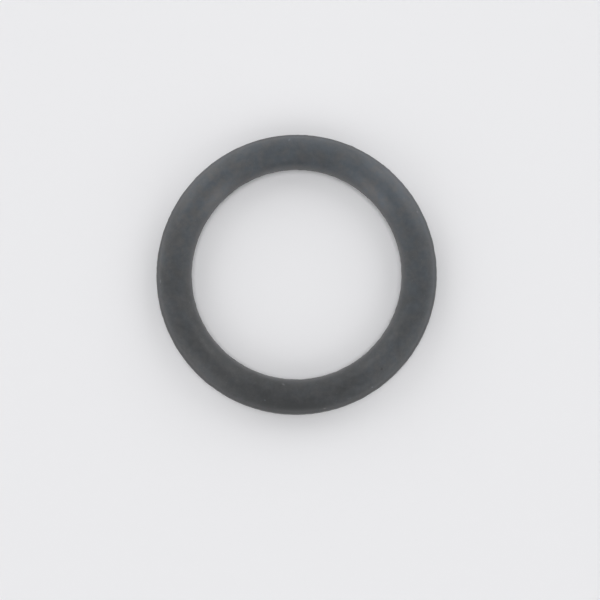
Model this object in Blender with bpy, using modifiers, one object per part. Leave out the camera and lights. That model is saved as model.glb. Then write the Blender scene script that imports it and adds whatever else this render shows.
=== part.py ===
"""A moulded rubber sealing ring of round section: the gasket of a bypass pipe joint.

Units are metres. The ring lies flat, with its axis along +Z. The origin is the centre of the
ring, halfway up its section, where a groove or a spigot locates it. The two halves of the mould
meet on the plane z = 0, and leave a thin trimmed bead of flash there, round the outside and
round the bore.
"""

import math

import bpy

MM = 0.001

# Driving sizes
BORE_DIAMETER = 18.0 * MM
SECTION_DIAMETER = 3.0 * MM
FLASH_WIDTH = 0.20 * MM
FLASH_HEIGHT = 0.05 * MM

# Facets. An odd number of flats on each half of the section puts one flat level at the very top
# and one at the very bottom, where the ring meets a flange or a table.
ARC_FLATS = 17
BEAD_FLATS = 4
RING_STEPS = 96

# The Screw modifier closes the turn by merging its first and last profile. This is far below the
# smallest side of the outline.
SEAM_MERGE = 0.001 * MM

# Finish of the rubber
RUBBER_COLOUR = (0.045, 0.047, 0.050, 1.0)
RUBBER_ROUGHNESS = 0.6

COLLECTION_NAME = "bypass_gasket"
RING_NAME = "o_ring"


def clear_scene():
    """Remove what the scene holds, so that the script can run again in the same file."""
    for obj in list(bpy.data.objects):
        bpy.data.objects.remove(obj, do_unlink=True)


def rubber():
    """Matt black nitrile rubber."""
    material = bpy.data.materials.new("rubber")
    material.use_nodes = True
    shader = material.node_tree.nodes["Principled BSDF"]
    shader.inputs["Base Color"].default_value = RUBBER_COLOUR
    shader.inputs["Roughness"].default_value = RUBBER_ROUGHNESS
    shader.inputs["Metallic"].default_value = 0.0
    material.diffuse_color = RUBBER_COLOUR
    return material


def bead_points(parting_angle, root_angle):
    """(angle, radius) over one bead of flash, from root to root, the way the outline runs.

    The bead swells smoothly out of the round section, to FLASH_HEIGHT at the parting line.
    """
    section_radius = SECTION_DIAMETER / 2
    points = []
    for step in range(BEAD_FLATS + 1):
        share = 1 - 2 * step / BEAD_FLATS
        swell = (1 + math.cos(math.pi * share)) / 2
        points.append((parting_angle + share * root_angle, section_radius + swell * FLASH_HEIGHT))
    return points


def arc_points(start_angle, root_angle):
    """(angle, radius) over the plain half of the section that follows a bead, without its ends.

    The corners lie just outside the true circle, so that the flats between them touch it.
    """
    step_angle = (math.pi - 2 * root_angle) / ARC_FLATS
    corner_radius = SECTION_DIAMETER / 2 / math.cos(step_angle / 2)
    return [(start_angle - step * step_angle, corner_radius) for step in range(1, ARC_FLATS)]


def section_outline():
    """The closed outline (x, z) of the section. It runs down the outside and up the bore."""
    root_angle = math.asin(FLASH_WIDTH / SECTION_DIAMETER)
    polar = []
    for parting_angle in (0.0, -math.pi):
        polar += bead_points(parting_angle, root_angle)
        polar += arc_points(parting_angle - root_angle, root_angle)
    centre_radius = (BORE_DIAMETER + SECTION_DIAMETER) / 2
    return [
        (centre_radius + radius * math.cos(angle), radius * math.sin(angle))
        for angle, radius in polar
    ]


def turned_ring(name, outline):
    """One full turn of the outline about the ring's axis."""
    points = [(x, 0.0, z) for x, z in outline]
    edges = [(i, (i + 1) % len(points)) for i in range(len(points))]
    mesh = bpy.data.meshes.new(name)
    mesh.from_pydata(points, edges, [])
    ring = bpy.data.objects.new(name, mesh)
    turn = ring.modifiers.new("turn", "SCREW")
    turn.axis = "Z"
    turn.angle = 2 * math.pi
    turn.steps = RING_STEPS
    turn.render_steps = RING_STEPS
    turn.use_smooth_shade = True
    turn.use_merge_vertices = True
    turn.merge_threshold = SEAM_MERGE
    return ring


def main():
    clear_scene()
    gasket = bpy.data.collections.new(COLLECTION_NAME)
    bpy.context.scene.collection.children.link(gasket)
    ring = turned_ring(RING_NAME, section_outline())
    ring.data.materials.append(rubber())
    gasket.objects.link(ring)


main()
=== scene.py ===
"""A moulded rubber sealing ring of round section, lying on a pale table.

Units are metres. The ring takes its sizes from the solid in the frame and keeps its form. It adds
what the solid leaves out: the uneven edge of the trimmed flash, the slight waviness of soft
rubber, and the finish of the surface, with its haze, dust and small marks. Light and shade are
also painted into the rubber's colour: lighter towards one side and in some spots, darker in
others, round the rims and beside one speck, and cool towards one side.
"""

import math

import bpy
import numpy as np
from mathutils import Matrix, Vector


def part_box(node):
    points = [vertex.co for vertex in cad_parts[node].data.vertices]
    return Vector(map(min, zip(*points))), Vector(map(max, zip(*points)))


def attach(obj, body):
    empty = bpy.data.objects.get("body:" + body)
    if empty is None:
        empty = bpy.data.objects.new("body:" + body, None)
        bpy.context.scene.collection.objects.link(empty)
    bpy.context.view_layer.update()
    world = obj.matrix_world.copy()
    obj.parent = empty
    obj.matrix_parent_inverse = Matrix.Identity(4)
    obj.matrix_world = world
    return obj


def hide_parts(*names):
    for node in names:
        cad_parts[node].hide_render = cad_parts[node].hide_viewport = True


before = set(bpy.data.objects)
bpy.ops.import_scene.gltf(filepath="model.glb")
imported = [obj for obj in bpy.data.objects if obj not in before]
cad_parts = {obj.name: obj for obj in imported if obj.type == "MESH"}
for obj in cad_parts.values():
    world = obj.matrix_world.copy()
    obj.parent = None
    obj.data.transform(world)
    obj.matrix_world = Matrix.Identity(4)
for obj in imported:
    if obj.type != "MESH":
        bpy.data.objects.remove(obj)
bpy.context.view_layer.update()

MM = 0.001
MICRON = 0.001 * MM
NODE = "o_ring"
SEED = 18

# The photograph's frame, in pixels, and its camera
IMAGE_WIDTH = 600
RING_CENTRE_PX = (296.57, 274.54)
RING_WIDTH_PX = 280.0
CAMERA_ELEVATION = math.radians(87)
LENS_MM = 100
SENSOR_MM = 36
NEAREST_SEEN = 1 * MM
FARTHEST_SEEN = 10

# How finely the ring is cut: flats round it, and flats along each stretch of its section
FLATS_AROUND = 600
FLATS_ON_FLASH = 22
FLATS_ON_ARC = 50

# The flash: how far from the parting line its foot reaches, and how thin its edge is
FLASH_REACH = 0.16 * MM
FLASH_THINNESS = 0.045 * MM

# The share of the solid's flash that trimming left: on average, how much it varies, the least of
# it, and the fewest and most waves in a turn that its edge is made of
FLASH_MEAN = 0.30
FLASH_RAGGED = 0.12
FLASH_LEAST = 0.05
FLASH_WAVES = (20, 150)

# Small departures from a true ring: (waves in a turn, size, angle of the first crest)
OUT_OF_ROUND = ((2, 0.017 * MM, math.radians(45)), (3, 0.015 * MM, math.radians(-22)))

# How much thinner the section gets, and the fewest and most waves in a turn in which it does. A
# random wave of unit size seldom passes RARE_CREST.
SECTION_VARIATION = 0.004 * MM
SECTION_WAVES = (1, 5)
RARE_CREST = 3

# The waviness of the surface: its size, the number of waves that make it, their usual length, and
# the fewest and most of them in that length
WAVINESS = 1.5 * MICRON
WAVINESS_WAVES = 60
WAVINESS_LENGTH = 0.9 * MM
WAVINESS_SPREAD = (0.4, 1.3)

# Rubber. Its haze is cool in some places and warm in others, at random. On top of that, a cool
# light is painted in towards one side, and the painted highlights are tinted warm and the painted
# shade cool.
RUBBER_DEEP = (0.010, 0.012, 0.014, 1.0)
RUBBER_HAZY_COOL = (0.094, 0.120, 0.150, 1.0)
RUBBER_HAZY_WARM = (0.119, 0.120, 0.124, 1.0)
TINT_LENGTH = 0.8 * MM
PAINTED_COOL_LIGHT_SIDE = (0.75, 0.65, 0.0)
PAINTED_COOL_LIGHT_TO_SIDE = 0.25
PAINTED_LIGHT_WARMTH = 0.8

# How hazy the rubber is, from 0 to 1: on average, how much more towards one side, and how much its
# clouds and its fine mottle vary. The side term is painted light: lighter on the lit side, and
# painted shade on the other. The haze thins out towards the flash, below the last height here, which
# paints shade on the walls round the rims.
HAZE_MEAN = 0.23
PAINTED_LIGHT_SIDE = (0.15, 0.99, 0.0)
PAINTED_LIGHT_TO_SIDE = 0.15
HAZE_CLOUDS = 0.25
WIDE_CLOUD_LENGTH = 5 * MM
SMALL_CLOUD_LENGTH = 0.9 * MM
HAZE_MOTTLE = 0.38
HAZE_MOTTLE_LENGTH = 0.4 * MM
PAINTED_RIM_SHADE_HEIGHT = 1.1 * MM

# Painted highlights and painted shade: spots where the rubber is painted lighter or darker than round
# them, in degrees and mm: (angle round the ring, distance out from the crown, length along the ring,
# width across it, turned by, how much)
PAINTED_LIGHT_AND_SHADE = (
    (45, 0.0, 14.0, 14.0, 0, 0.14),
    (137, 0.0, 14.0, 14.0, 0, 0.14),
    (45, -1.10, 6.0, 2.0, 0, 0.33),
    (136, -1.10, 6.0, 2.0, 0, 0.33),
    (67, 0.95, 6.5, 1.8, 0, -0.12),
    (75, -0.70, 3.5, 1.6, 0, -0.07),
    (120, 0.90, 3.5, 1.8, 0, -0.09),
    (155, 1.00, 7.0, 2.0, 0, -0.13),
    (225, 0.60, 6.5, 3.4, 0, 0.14),
    (242, -0.10, 4.5, 1.8, 0, 0.09),
    (268, 0.80, 8.0, 1.8, 0, -0.12),
    (315, 0.00, 11.0, 3.0, 0, 0.14),
)
# Pale specks and streaks of dust, and darker spots, in the same columns. The dark spot just out from
# the speck at 256 degrees is that speck's painted shadow.
MARKS_AND_PAINTED_SHADOW = (
    (263.2, -1.05, 0.50, 0.22, -18, 0.65),
    (93.1, 0.97, 0.55, 0.24, 67, 0.55),
    (303.7, 1.09, 0.26, 0.22, 0, 0.90),
    (27.2, 1.08, 0.28, 0.24, 0, 0.90),
    (183.1, 1.11, 0.50, 0.20, 0, 0.75),
    (281.8, 1.19, 0.38, 0.18, 0, 0.80),
    (256.0, 0.55, 0.20, 0.20, 0, 0.60),
    (256.0, 0.82, 0.46, 0.38, 0, -0.50),
    (311.7, 0.34, 0.36, 0.28, 0, -0.30),
    (243.1, 1.08, 0.40, 0.32, 0, -0.60),
)

# Fine dust lies all over: how far apart its places are, the share of them that hold a speck, a
# speck's radius and how far its outline is shaken, and how hazy it looks. On the crown, within the
# first of two shares of the section's radius, it looks fainter than it does past the second.
DUST_SPACING = 0.24 * MM
DUST_SHARE = 0.30
DUST_RADIUS = 0.045 * MM
DUST_SHAKE = 0.03 * MM
DUST_STRENGTH = 0.4
DUST_TURNS_DOWN = (0.5, 0.75)
DUST_ON_CROWN = 0.5

# The skin is satin, and dull low down on the outside. It is fully dull below the first of two
# heights off the parting line, and satin above the second.
SATIN_ROUGHNESS = (0.45, 0.55)
SATIN_LENGTH = 2 * MM
DULL_ROUGHNESS = 0.85
DULL_HEIGHTS = (0.6 * MM, 0.95 * MM)
SHEEN = 0.15
SHEEN_ROUGHNESS = 0.8

# The trimmed flash is rough, and bare of haze and dust. It is fully so below the first of two
# heights off the parting line, which wander, and not at all above the second.
TRIMMED_ROUGHNESS = 0.9
TRIMMED_HEIGHTS = (0.045 * MM, 0.135 * MM)
TRIMMED_WANDER = 0.045 * MM
TRIMMED_WANDER_LENGTH = 0.25 * MM

# Relief too fine for the mesh: the rubber's grain, and the lines that turning left in the mould,
# so many round the section. They wander by some radians of a line.
GRAIN_LENGTH = 0.035 * MM
GRAIN_HEIGHT = 1.5 * MICRON
TURNING_LINES = 70
TURNING_HEIGHT = 0.15 * MICRON
TURNING_WANDER = 3.0
TURNING_WANDER_LENGTH = 1.5 * MM

# Cloudy noise runs from 0 to 1, and seldom leaves this range
NOISE_RANGE = (0.3, 0.7)

TABLE_WIDTH = 4
TABLE_COLOUR = (0.831, 0.831, 0.847, 1.0)
TABLE_ROUGHNESS = 0.9
WHITE = (1.0, 1.0, 1.0, 1.0)
BLACK = (0.0, 0.0, 0.0, 1.0)

# Near the ring the table is lit. From the first of these distances to the second it turns into an
# even backdrop, in the colour that it has near the ring. The camera sees the sky in it too. The
# backdrop lights nothing.
BACKDROP_DISTANCES = (60 * MM, 250 * MM)

# Light. The sky is brighter low down than it is from SKY_LOW (a sine) up, and darkens to black in
# the direction of -Y, from SKY_DARK_FROM (a sine) on. Its share of the table's light and those of
# the lamps add up to 1.
SKY_AT_HORIZON = 1.2
SKY_ABOVE = 0.25
SKY_LOW = 0.4
SKY_DARK_FROM = 0.6
LAMP_DISTANCE = 0.6
# (name, azimuth, elevation, width in degrees, share, whether it shows in reflections)
LAMPS = (
    ("overhead", 0, 90, 22, 0.330, False),
    ("upper_right", 45, 35, 42, 0.132, True),
    ("upper_left", 135, 35, 42, 0.132, True),
    ("lower_left", 225, 35, 42, 0.101, True),
    ("lower_right", 315, 35, 42, 0.101, True),
)


def ring_sizes(node):
    """(centre-line radius, section radius, greatest flash height) of the solid ring."""
    low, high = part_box(node)
    reach = [math.hypot(v.co.x, v.co.y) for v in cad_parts[node].data.vertices]
    section_radius = (high.z - low.z) / 2
    centre_radius = (max(reach) + min(reach)) / 2
    return centre_radius, section_radius, (max(reach) - min(reach)) / 2 - section_radius


CENTRE_RADIUS, SECTION_RADIUS, FLASH_HEIGHT = ring_sizes(NODE)


def ripples(angle, rng, fewest, most):
    """A random wave round the ring, of unit size, made of fewest to most waves in a turn."""
    wave = np.zeros_like(angle)
    for count in range(fewest, most + 1):
        wave += rng.normal() / math.sqrt(count) * np.cos(count * angle + rng.uniform(0, 2 * math.pi))
    return wave / wave.std()


def waviness(points, rng):
    """A random wave over the surface, of unit size."""
    wave = np.zeros(points.shape[:-1])
    for _ in range(WAVINESS_WAVES):
        way = rng.normal(size=3)
        way *= 2 * math.pi / WAVINESS_LENGTH / np.linalg.norm(way) * rng.uniform(*WAVINESS_SPREAD)
        wave += np.cos(points @ way + rng.uniform(0, 2 * math.pi))
    return wave / wave.std()


def section_angles():
    """Angles of the points round the section. They lie closest together on the two flashes."""
    reach = FLASH_REACH / SECTION_RADIUS
    on_flash = np.linspace(-reach, reach, FLATS_ON_FLASH, endpoint=False)
    on_arc = np.linspace(reach, math.pi - reach, FLATS_ON_ARC, endpoint=False)
    half = np.concatenate([on_flash, on_arc])
    return np.concatenate([half, half + math.pi])


def flash_height(turn, section_angle, rng):
    """Height of the two flashes over the plain section, at each (turn, section) point."""
    height = np.zeros((len(turn), len(section_angle)))
    for parting in (0.0, math.pi):
        off = (section_angle - parting + math.pi) % (2 * math.pi) - math.pi
        edge = np.exp(-((off * SECTION_RADIUS / FLASH_THINNESS) ** 2))
        share = FLASH_MEAN + FLASH_RAGGED * ripples(turn, rng, *FLASH_WAVES)
        height += FLASH_HEIGHT * np.outer(np.clip(share, FLASH_LEAST, 1.0), edge)
    return height


def ring_points(turn, section_angle, centre, section, height):
    """Points of the ring, (turn, section). The section rests on the table all round."""
    radius = section[:, None] + height
    out = centre[:, None] + radius * np.cos(section_angle)
    up = radius * np.sin(section_angle) + (section - SECTION_RADIUS)[:, None]
    return np.stack([out * np.cos(turn)[:, None], out * np.sin(turn)[:, None], up], axis=-1)


def closed_grid_faces(around, along):
    """The corner numbers of each face of a grid of points that closes both ways."""
    i, j = np.meshgrid(np.arange(around), np.arange(along), indexing="ij")
    next_i, next_j = (i + 1) % around, (j + 1) % along
    corners = [i * along + j, next_i * along + j, next_i * along + next_j, i * along + next_j]
    return np.stack(corners, axis=-1).reshape(-1, 4)


def ring_mesh(name):
    """The ring with its flash, slightly out of round, uneven in section and wavy."""
    rng = np.random.default_rng(SEED)
    turn = np.linspace(0, 2 * math.pi, FLATS_AROUND, endpoint=False)
    section_angle = section_angles()

    centre = np.full_like(turn, CENTRE_RADIUS)
    for waves, size, crest in OUT_OF_ROUND:
        centre += size * np.cos(waves * (turn - crest))
    thinner = SECTION_VARIATION * (1 + ripples(turn, rng, *SECTION_WAVES) / RARE_CREST) / 2
    section = SECTION_RADIUS - np.clip(thinner, 0, None)

    height = flash_height(turn, section_angle, rng)
    plain = ring_points(turn, section_angle, centre, section, height)
    height += WAVINESS * waviness(plain, rng)
    points = ring_points(turn, section_angle, centre, section, height)

    faces = closed_grid_faces(len(turn), len(section_angle))
    mesh = bpy.data.meshes.new(name)
    mesh.from_pydata(points.reshape(-1, 3).tolist(), [], faces.tolist())
    mesh.shade_smooth()
    return mesh


class Nodes:
    """Adds nodes to a node tree. Each input is a plain value or another node's output."""

    def __init__(self, tree):
        self.tree = tree

    def set(self, node, key, value):
        """Links the input to a node's output, or gives it a plain value."""
        if isinstance(value, bpy.types.NodeSocket):
            self.tree.links.new(value, node.inputs[key])
        else:
            node.inputs[key].default_value = value

    def add(self, kind, inputs=None, **settings):
        """A new node of this kind. Its inputs go by name or by number."""
        node = self.tree.nodes.new(kind)
        for name, value in settings.items():
            setattr(node, name, value)
        for key, value in (inputs or {}).items():
            self.set(node, key, value)
        return node

    def math(self, operation, *values):
        return self.add("ShaderNodeMath", dict(enumerate(values)), operation=operation).outputs[0]

    def total(self, first, *others):
        """The sum of all these values."""
        for value in others:
            first = self.math("ADD", first, value)
        return first

    def vector_math(self, operation, *values):
        node = self.add("ShaderNodeVectorMath", dict(enumerate(values)), operation=operation)
        gives_number = operation in ("LENGTH", "DOT_PRODUCT")
        return node.outputs["Value" if gives_number else "Vector"]

    def scaled(self, vector, factor):
        """The vector times this number."""
        node = self.add("ShaderNodeVectorMath", {0: vector, "Scale": factor}, operation="SCALE")
        return node.outputs["Vector"]

    def split(self, vector):
        """The vector's outputs X, Y and Z."""
        return self.add("ShaderNodeSeparateXYZ", {0: vector}).outputs

    def noise_texture(self, place, size, detail=2.0, fineness=0.5):
        """Cloudy noise in blobs of this size. Fineness strengthens its detail."""
        inputs = {"Vector": place, "Scale": 1 / size, "Detail": detail, "Roughness": fineness}
        return self.add("ShaderNodeTexNoise", inputs).outputs

    def noise(self, place, size, **finish):
        """Cloudy noise from 0 to 1."""
        return self.noise_texture(place, size, **finish)[0]

    def unevenness(self, place, size, amount, **finish):
        """Cloudy noise from -amount to amount."""
        from_middle = self.math("SUBTRACT", self.noise(place, size, **finish), 0.5)
        return self.math("MULTIPLY", from_middle, 2 * amount)

    def ramp(self, value, low, high, at_low=0.0, at_high=1.0, kind="SMOOTHSTEP"):
        """Runs from at_low to at_high as the value goes from low to high, and no further."""
        inputs = {0: value, 1: low, 2: high, 3: at_low, 4: at_high}
        return self.add("ShaderNodeMapRange", inputs, interpolation_type=kind).outputs[0]

    def mix(self, share, first, second):
        """Runs from the first colour to the second as the share goes from 0 to 1."""
        node = self.add("ShaderNodeMix", data_type="RGBA")
        for key, value in ((0, share), (6, first), (7, second)):
            self.set(node, key, value)
        return node.outputs[2]


def new_material(name):
    """(material, its nodes, its shader)"""
    material = bpy.data.materials.new(name)
    material.use_nodes = True
    return material, Nodes(material.node_tree), material.node_tree.nodes["Principled BSDF"]


def side_of(nodes, place, way):
    """How far the place lies towards this side of the ring, from -1 to 1."""
    return nodes.math("DIVIDE", nodes.vector_math("DOT_PRODUCT", place, way), CENTRE_RADIUS)


def clouds(nodes, place):
    """How much hazier the rubber is for its clouds and its mottle."""
    return nodes.total(
        nodes.unevenness(place, WIDE_CLOUD_LENGTH, HAZE_CLOUDS / 2),
        nodes.unevenness(place, SMALL_CLOUD_LENGTH, HAZE_CLOUDS / 2, detail=3.0),
        nodes.unevenness(place, HAZE_MOTTLE_LENGTH, HAZE_MOTTLE / 2, detail=3.0, fineness=0.7),
    )


def spots(nodes, place, rows):
    """How much lighter or darker the rubber is painted at these spots on its upper side: painted
    highlights and shade, or marks.

    Each is a round spot stretched along the ring. It fades from its middle, on the surface, to
    nothing at its edge.
    """
    total = 0.0
    for round_ring, out, length, width, turned, amount in rows:
        angle = math.radians(round_ring)
        radius = CENTRE_RADIUS + out * MM
        height = math.sqrt(SECTION_RADIUS**2 - (out * MM) ** 2)
        inputs = {
            "Vector": place,
            "Location": (radius * math.cos(angle), radius * math.sin(angle), height),
            "Rotation": (0, 0, angle + math.radians(90 + turned)),
            "Scale": (length / 2 * MM, width / 2 * MM, length / 2 * MM),
        }
        from_middle = nodes.add("ShaderNodeMapping", inputs, vector_type="TEXTURE").outputs[0]
        spot = nodes.ramp(nodes.vector_math("LENGTH", from_middle), 0, 1, amount, 0.0)
        total = nodes.math("ADD", total, spot)
    return total


def dust(nodes, place, out):
    """How much hazier the rubber is for dust: specks where one of its places lies near."""
    places = nodes.add("ShaderNodeTexVoronoi", {"Vector": place, "Scale": 1 / DUST_SPACING})
    radius = DUST_RADIUS / DUST_SPACING
    speck = nodes.ramp(places.outputs["Distance"], radius / 2, radius, DUST_STRENGTH, 0.0)
    is_held = nodes.math("LESS_THAN", nodes.split(places.outputs["Color"])["X"], DUST_SHARE)
    crown, turned_down = (share * SECTION_RADIUS for share in DUST_TURNS_DOWN)
    strength = nodes.ramp(nodes.math("ABSOLUTE", out), crown, turned_down, DUST_ON_CROWN)
    return nodes.math("MULTIPLY", nodes.math("MULTIPLY", speck, is_held), strength)


def shaken_place(nodes, place):
    """The place, shaken a little, so that round spots come out uneven."""
    shake = nodes.noise_texture(place, DUST_RADIUS / 2)["Color"]
    shake = nodes.vector_math("SUBTRACT", shake, (0.5, 0.5, 0.5))
    return nodes.vector_math("ADD", place, nodes.scaled(shake, 2 * DUST_SHAKE))


def haze_colour(nodes, place, painted_light_patches):
    """The colour of the haze: cool where the tint is 0, and warm where it is 1."""
    tint = nodes.ramp(nodes.noise(place, TINT_LENGTH, detail=3.0, fineness=0.6), *NOISE_RANGE)
    # The colour of painted light: warm in the painted highlights, cool in the painted shade and
    # towards one side
    painted_light_warmth = nodes.math("MULTIPLY", painted_light_patches, PAINTED_LIGHT_WARMTH)
    painted_cool_light = nodes.math("MULTIPLY", side_of(nodes, place, PAINTED_COOL_LIGHT_SIDE), PAINTED_COOL_LIGHT_TO_SIDE)
    tint = nodes.math("SUBTRACT", nodes.math("ADD", tint, painted_light_warmth), painted_cool_light)
    return nodes.mix(tint, RUBBER_HAZY_COOL, RUBBER_HAZY_WARM)


def rubber_colour(nodes, place, out, off_flash, skin):
    """Deep black under a haze with clouds, marks and dust in it, and with painted light and shade:
    lighter towards one side and in some spots, darker in others and round the rims.
    """
    # Painted highlights and painted shade at the listed spots
    painted_light_patches = spots(nodes, place, PAINTED_LIGHT_AND_SHADE)
    # Painted light and shade: lighter towards the lit side, darker away from it
    painted_light_to_side = nodes.math("MULTIPLY", side_of(nodes, place, PAINTED_LIGHT_SIDE), PAINTED_LIGHT_TO_SIDE)
    haze = nodes.total(painted_light_to_side, HAZE_MEAN, clouds(nodes, place), painted_light_patches)
    # Painted shade: the haze thins out towards the flash, so the walls round the rims come out darker
    haze = nodes.math("MULTIPLY", haze, nodes.ramp(off_flash, 0, PAINTED_RIM_SHADE_HEIGHT))

    shaken = shaken_place(nodes, place)
    # Marks and dust, with the one painted shadow among the marks
    haze = nodes.total(haze, spots(nodes, shaken, MARKS_AND_PAINTED_SHADOW), dust(nodes, shaken, out))
    haze = nodes.math("MULTIPLY", haze, skin)
    return nodes.mix(haze, RUBBER_DEEP, haze_colour(nodes, place, painted_light_patches))


def rubber_roughness(nodes, place, out, off_flash, skin):
    """Satin, dull low down on the outside, and rough on the trimmed flash."""
    satin = nodes.ramp(nodes.noise(place, SATIN_LENGTH), *NOISE_RANGE, *SATIN_ROUGHNESS)
    on_outside = nodes.ramp(out, 0, SECTION_RADIUS / 2)
    dull = nodes.ramp(off_flash, *DULL_HEIGHTS, on_outside, 0.0)
    roughness = nodes.ramp(dull, 0, 1, satin, DULL_ROUGHNESS, "LINEAR")
    return nodes.ramp(skin, 0, 1, TRIMMED_ROUGHNESS, roughness, "LINEAR")


def rubber_relief(nodes, place, out):
    """The normal over fine grain and the turned mould's lines, which run round the ring."""
    grain = nodes.math("MULTIPLY", nodes.noise(place, GRAIN_LENGTH, detail=3.0), GRAIN_HEIGHT)
    round_section = nodes.math("ARCTAN2", nodes.split(place)["Z"], out)
    wander = nodes.math("MULTIPLY", nodes.noise(place, TURNING_WANDER_LENGTH), TURNING_WANDER)
    lines = nodes.math("ADD", nodes.math("MULTIPLY", round_section, TURNING_LINES), wander)
    lines = nodes.math("MULTIPLY", nodes.math("SINE", lines), TURNING_HEIGHT)
    inputs = {"Height": nodes.math("ADD", grain, lines), "Distance": 1.0, "Strength": 1.0}
    return nodes.add("ShaderNodeBump", inputs).outputs[0]


def rubber():
    """Matt black rubber with a faint haze, dust, small marks and fine relief, with light and shade
    painted into its colour.
    """
    material, nodes, shader = new_material("matt_rubber")
    place = nodes.add("ShaderNodeTexCoord").outputs["Object"]
    reach = nodes.vector_math("LENGTH", nodes.vector_math("MULTIPLY", place, (1, 1, 0)))
    out = nodes.math("SUBTRACT", reach, CENTRE_RADIUS)
    off_flash = nodes.math("ABSOLUTE", nodes.split(place)["Z"])

    # The skin is 1 where it is whole, and 0 on the trimmed flash
    wander = nodes.unevenness(place, TRIMMED_WANDER_LENGTH, TRIMMED_WANDER, detail=3.0)
    skin = nodes.ramp(nodes.math("ADD", off_flash, wander), *TRIMMED_HEIGHTS)

    nodes.set(shader, "Base Color", rubber_colour(nodes, place, out, off_flash, skin))
    nodes.set(shader, "Roughness", rubber_roughness(nodes, place, out, off_flash, skin))
    nodes.set(shader, "Normal", rubber_relief(nodes, place, out))
    nodes.set(shader, "Sheen Weight", SHEEN)
    nodes.set(shader, "Sheen Roughness", SHEEN_ROUGHNESS)
    return material


def make_ring():
    """The finished ring, which stands in for the solid."""
    ring = bpy.data.objects.new("rubber_ring", ring_mesh("rubber_ring"))
    bpy.context.scene.collection.objects.link(ring)
    ring.data.materials.append(rubber())
    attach(ring, "root")
    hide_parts(NODE)


def make_table():
    """A pale table under the ring. It keeps the ring's shadow, and is the backdrop further off."""
    low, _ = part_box(NODE)
    bpy.ops.mesh.primitive_plane_add(size=TABLE_WIDTH, location=(0, 0, low.z))
    table = bpy.context.object
    table.name = "table"
    material, nodes, shader = new_material("pale_table")
    off_ring = nodes.vector_math("LENGTH", nodes.add("ShaderNodeTexCoord").outputs["Object"])
    to_camera = nodes.add("ShaderNodeLightPath").outputs["Is Camera Ray"]
    backdrop = nodes.math("MULTIPLY", nodes.ramp(off_ring, *BACKDROP_DISTANCES), to_camera)
    nodes.set(shader, "Base Color", nodes.mix(backdrop, TABLE_COLOUR, BLACK))
    nodes.set(shader, "Emission Color", TABLE_COLOUR)
    nodes.set(shader, "Emission Strength", backdrop)
    nodes.set(shader, "Roughness", TABLE_ROUGHNESS)
    nodes.set(shader, "Specular IOR Level", 0.0)
    material.cycles.emission_sampling = "NONE"
    table.data.materials.append(material)


def make_sky():
    """A white sky that lights the ring mostly from low down. The camera sees it as the backdrop."""
    world = bpy.data.worlds.new("sky")
    bpy.context.scene.world = world
    world.use_nodes = True
    nodes = Nodes(world.node_tree)
    way = nodes.split(nodes.add("ShaderNodeTexCoord").outputs["Generated"])
    strength = nodes.ramp(way["Z"], 0, SKY_LOW, SKY_AT_HORIZON, SKY_ABOVE, "LINEAR")
    strength = nodes.math("MULTIPLY", strength, nodes.ramp(way["Y"], -1, -SKY_DARK_FROM))
    to_camera = nodes.add("ShaderNodeLightPath").outputs["Is Camera Ray"]
    background = world.node_tree.nodes["Background"]
    nodes.set(background, "Color", nodes.mix(to_camera, WHITE, TABLE_COLOUR))
    nodes.set(background, "Strength", nodes.ramp(to_camera, 0, 1, strength, 1.0, "LINEAR"))


def lamp_power(share, up):
    """The power of a far lamp at this elevation that gives this share of the table's light."""
    return share * (math.pi * LAMP_DISTANCE) ** 2 / math.sin(up)


def make_lamps():
    """Soft lamps round the ring."""
    for name, azimuth, elevation, width, share, seen_in_gloss in LAMPS:
        across, up = math.radians(azimuth), math.radians(elevation)
        way = Vector((math.cos(up) * math.cos(across), math.cos(up) * math.sin(across), math.sin(up)))
        data = bpy.data.lights.new(name, "AREA")
        data.shape = "DISK"
        data.size = 2 * LAMP_DISTANCE * math.tan(math.radians(width) / 2)
        data.energy = lamp_power(share, up)
        lamp = bpy.data.objects.new(name, data)
        lamp.location = way * LAMP_DISTANCE
        lamp.rotation_euler = way.to_track_quat("Z", "Y").to_euler()
        lamp.visible_camera = False
        lamp.visible_glossy = seen_in_gloss
        bpy.context.scene.collection.objects.link(lamp)


def make_camera():
    """A camera at the photograph's angle, turned so that the ring lands on its place there."""
    data = bpy.data.cameras.new("camera")
    data.lens = LENS_MM
    data.sensor_width = SENSOR_MM
    data.clip_start = NEAREST_SEEN
    data.clip_end = FARTHEST_SEEN
    camera = bpy.data.objects.new("camera", data)
    bpy.context.scene.collection.objects.link(camera)

    lens_px = IMAGE_WIDTH * LENS_MM / SENSOR_MM
    distance = lens_px * 2 * (CENTRE_RADIUS + SECTION_RADIUS) / RING_WIDTH_PX
    back = Vector((0, -math.cos(CAMERA_ELEVATION), math.sin(CAMERA_ELEVATION)))
    middle = IMAGE_WIDTH / 2
    ring_in_view = Vector((RING_CENTRE_PX[0] - middle, middle - RING_CENTRE_PX[1], -lens_px))
    turn = ring_in_view.rotation_difference(Vector((0, 0, -1)))
    camera.location = back * distance
    camera.rotation_mode = "QUATERNION"
    camera.rotation_quaternion = (-back).to_track_quat("-Z", "Y") @ turn
    bpy.context.scene.camera = camera


make_camera()
make_ring()
make_table()
make_sky()
make_lamps()
bpy.context.scene.view_settings.view_transform = "Standard"
